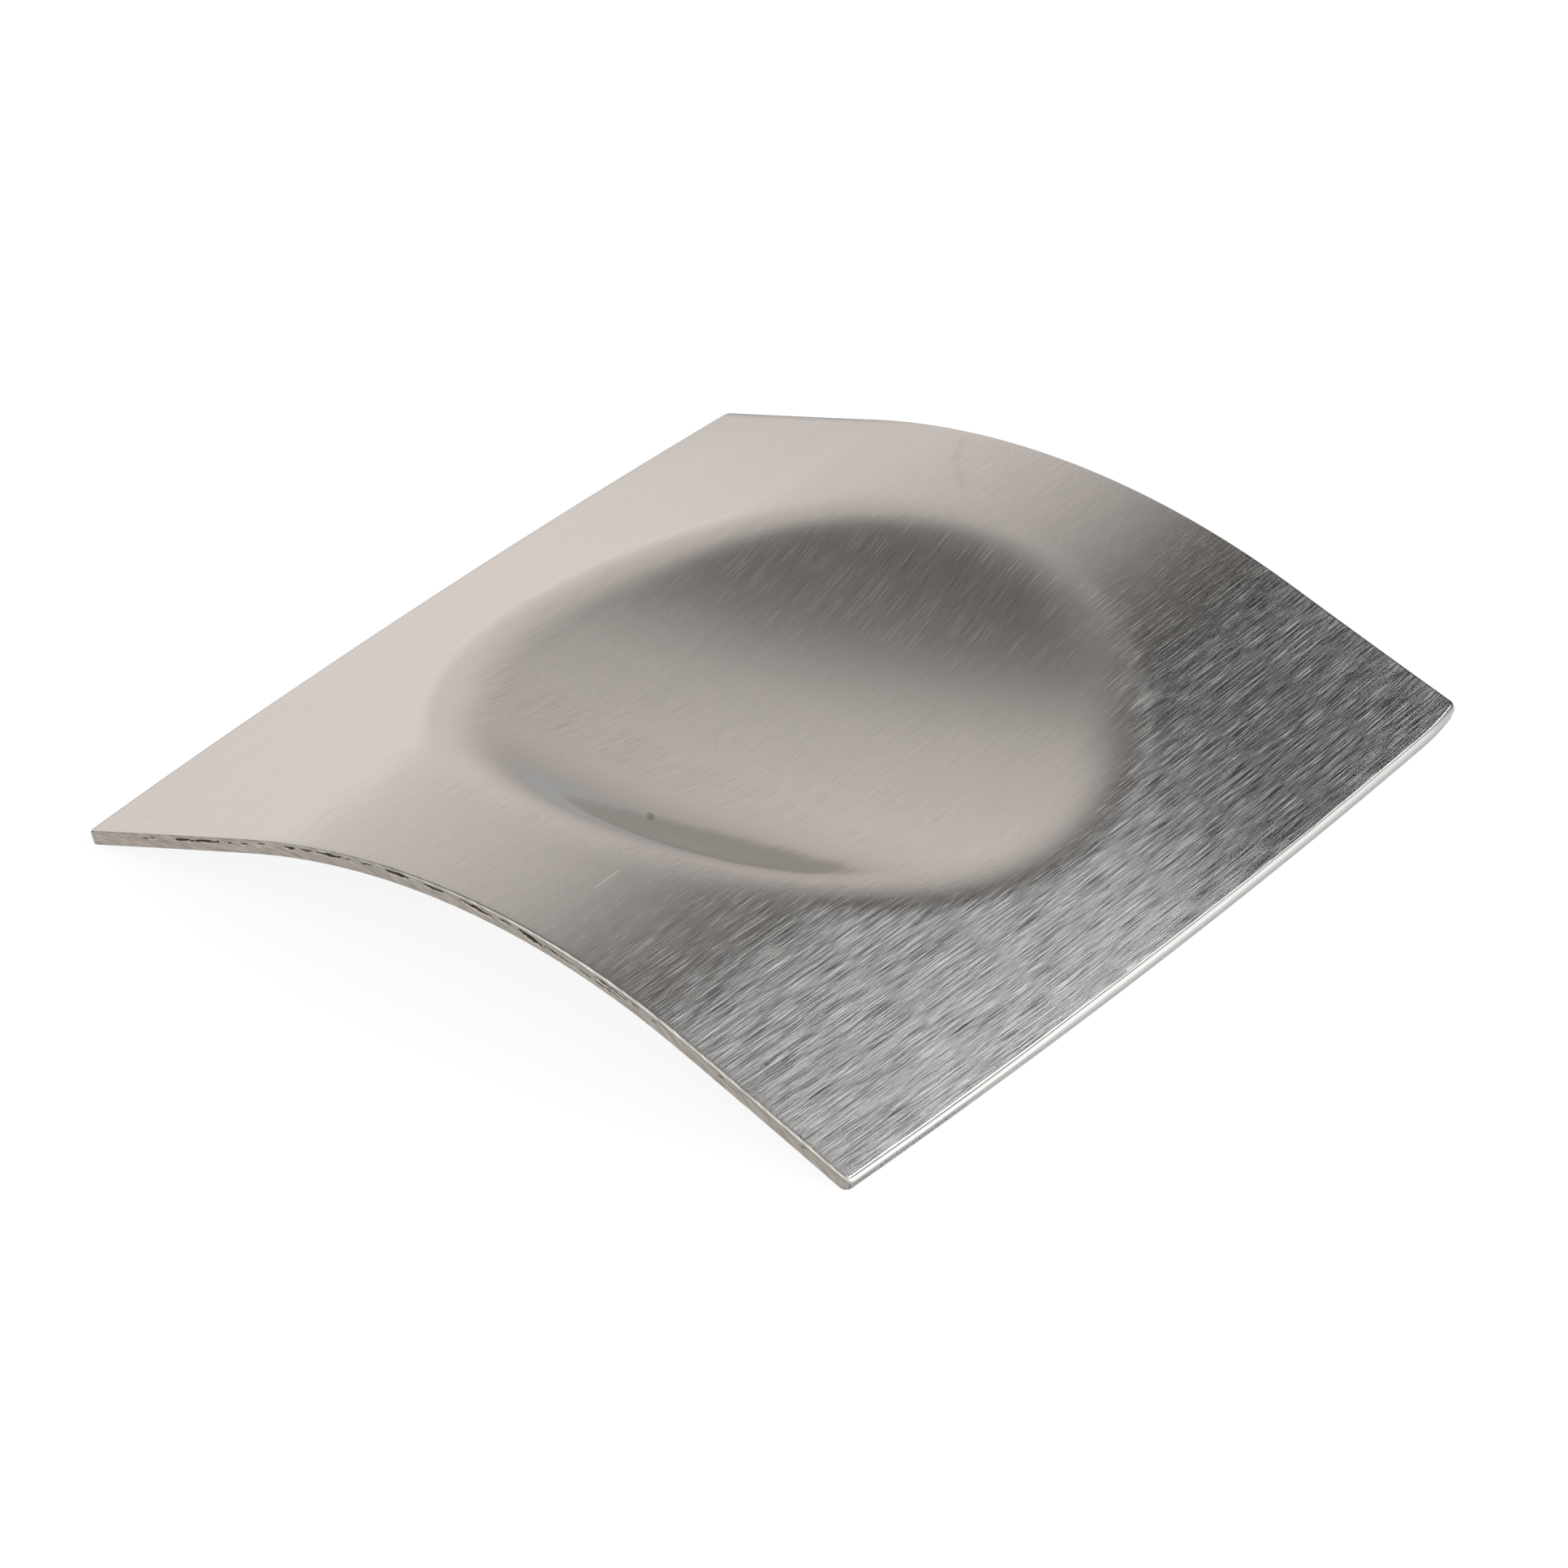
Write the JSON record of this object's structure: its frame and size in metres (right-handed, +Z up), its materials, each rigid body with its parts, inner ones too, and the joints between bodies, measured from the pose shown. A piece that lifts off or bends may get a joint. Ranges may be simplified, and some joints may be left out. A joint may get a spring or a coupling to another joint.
{
  "type": "spoon rest",
  "caption": "Low arched square of brushed stainless steel sheet with a shallow round dish pressed into its crown, standing on its ends to hold a wet cooking spoon.",
  "frame": {"origin": "on the table under the middle of the dish, at the bottom centre of the box", "axes": "+X along the arch from one standing end to the other, +Y along the standing ends, +Z up"},
  "size_m": [0.0954, 0.1, 0.0127],
  "materials": {
    "brushed_stainless": "brushed along the standing ends, bare metal, punched sides, ends broken by hand"
  },
  "bodies": {
    "root": {"dished_plate": "brushed_stainless"}
  },
  "joints": []
}
